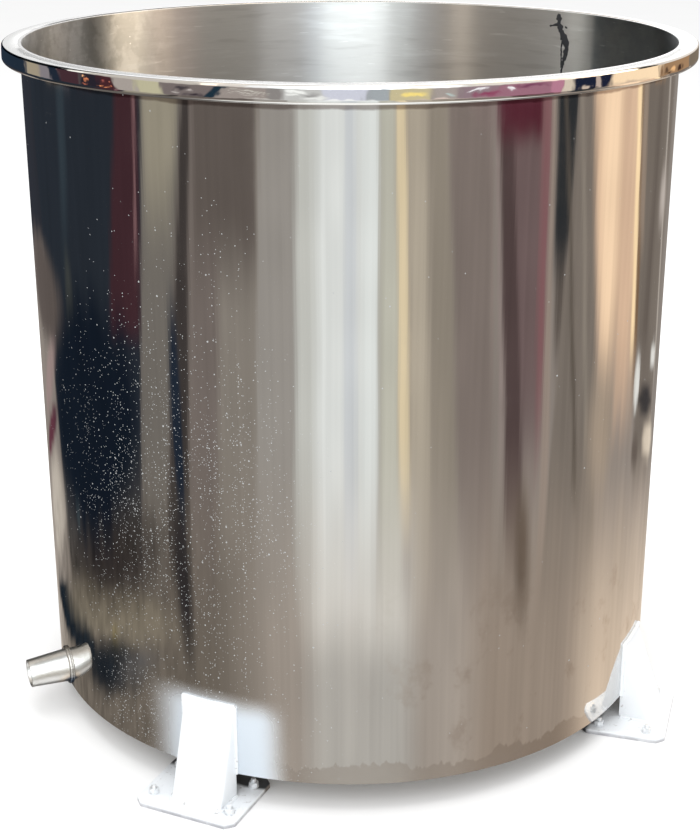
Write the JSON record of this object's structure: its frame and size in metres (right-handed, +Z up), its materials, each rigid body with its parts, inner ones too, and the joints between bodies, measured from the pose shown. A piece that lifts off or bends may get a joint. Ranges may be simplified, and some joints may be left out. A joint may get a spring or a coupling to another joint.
{
  "type": "paint mixing tank",
  "caption": "Open-topped round paint mixing tank of polished stainless sheet, with a square rim ring, a low tapered drain stub and white folded feet on base plates.",
  "frame": {"origin": "on the tank's vertical axis at floor level", "axes": "+Z up; -Y is the front, from which the drain stub shows at the lower left; +X to the right of that view"},
  "size_m": [1.0858, 1.093, 1.062],
  "materials": {
    "polished_steel": "mirror polished stainless sheet with faint rolling lines and dust specks",
    "satin_steel": "satin stainless, brushed, with weld tint at the drain",
    "white_paint": "white paint, semi-gloss, worn to grey along the plate edges",
    "zinc_plate": "bright zinc plated fasteners"
  },
  "bodies": {
    "root": {"shell_wall_front": "polished_steel", "shell_wall_back": "polished_steel", "shell_wall_over_drain": "polished_steel", "shell_wall_at_drain": "polished_steel", "floor_plate": "satin_steel", "rim_ring": "polished_steel", "drain_nozzle": "satin_steel", "leg_bracket_front": "white_paint", "base_plate_front": "white_paint", "stud_front_1": "zinc_plate", "stud_front_2": "zinc_plate", "stud_front_3": "zinc_plate", "stud_front_4": "zinc_plate", "leg_bracket_right": "white_paint", "base_plate_right": "white_paint", "stud_right_1": "zinc_plate", "stud_right_2": "zinc_plate", "stud_right_3": "zinc_plate", "stud_right_4": "zinc_plate", "leg_bracket_back": "white_paint", "base_plate_back": "white_paint", "stud_back_1": "zinc_plate", "stud_back_2": "zinc_plate", "stud_back_3": "zinc_plate", "stud_back_4": "zinc_plate", "leg_bracket_left": "white_paint", "base_plate_left": "white_paint", "stud_left_1": "zinc_plate", "stud_left_2": "zinc_plate", "stud_left_3": "zinc_plate", "stud_left_4": "zinc_plate"}
  },
  "joints": []
}
